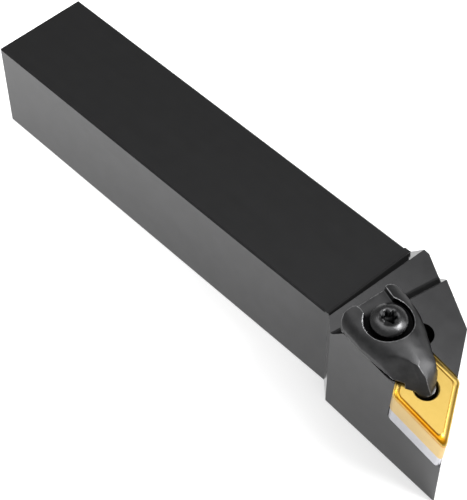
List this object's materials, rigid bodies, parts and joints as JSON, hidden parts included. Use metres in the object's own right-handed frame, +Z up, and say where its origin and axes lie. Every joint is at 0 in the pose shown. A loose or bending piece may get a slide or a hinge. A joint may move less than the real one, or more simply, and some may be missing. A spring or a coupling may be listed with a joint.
{
  "type": "turning tool holder",
  "caption": "Left-hand external turning tool holder with square shank, hook clamp, screw, spring, carbide seat and a rhombic insert.",
  "frame": {"origin": "centre of the butt end's face", "axes": "+X along the shank from the butt end to the cutting tip, +Y to the back side of the shank, +Z up, square to the underside"},
  "size_m": [0.15, 0.032, 0.0356],
  "materials": {
    "black_steel": "black oxide, satin",
    "clamp_steel": "black oxide over a fine cast and blasted skin",
    "screw_steel": "dark phosphate, semi-gloss",
    "gold_coating": "thin hard gold-coloured coating, satin",
    "bare_carbide": "ground bare carbide",
    "spring_steel": "bright drawn wire"
  },
  "bodies": {
    "holder": {"holder_body": "black_steel", "seat_shim": "bare_carbide", "shim_screw": "screw_steel", "cutting_insert": "gold_coating", "clamp_spring": "spring_steel"},
    "clamp": {"top_clamp": "clamp_steel"},
    "screw": {"clamp_screw": "screw_steel", "stop_ring": "spring_steel"}
  },
  "joints": [
    {"name": "clamp_lift", "type": "slide", "parent": "holder", "child": "clamp", "axis": [0.1212, -0.1038, 0.9872], "range_m": [0, 0.0042], "deforming": ["clamp_spring"]},
    {"name": "clamp_screw_turn", "type": "hinge", "parent": "clamp", "child": "screw", "pos_m": [0.12483, -0.00925, 0.01709], "axis": [0.1212, -0.1038, 0.9872], "range_deg": [0, 2165]}
  ],
  "couplings": [
    {"joint": "clamp_screw_turn", "follows": "clamp_lift", "rad_per_m": 8976}
  ]
}
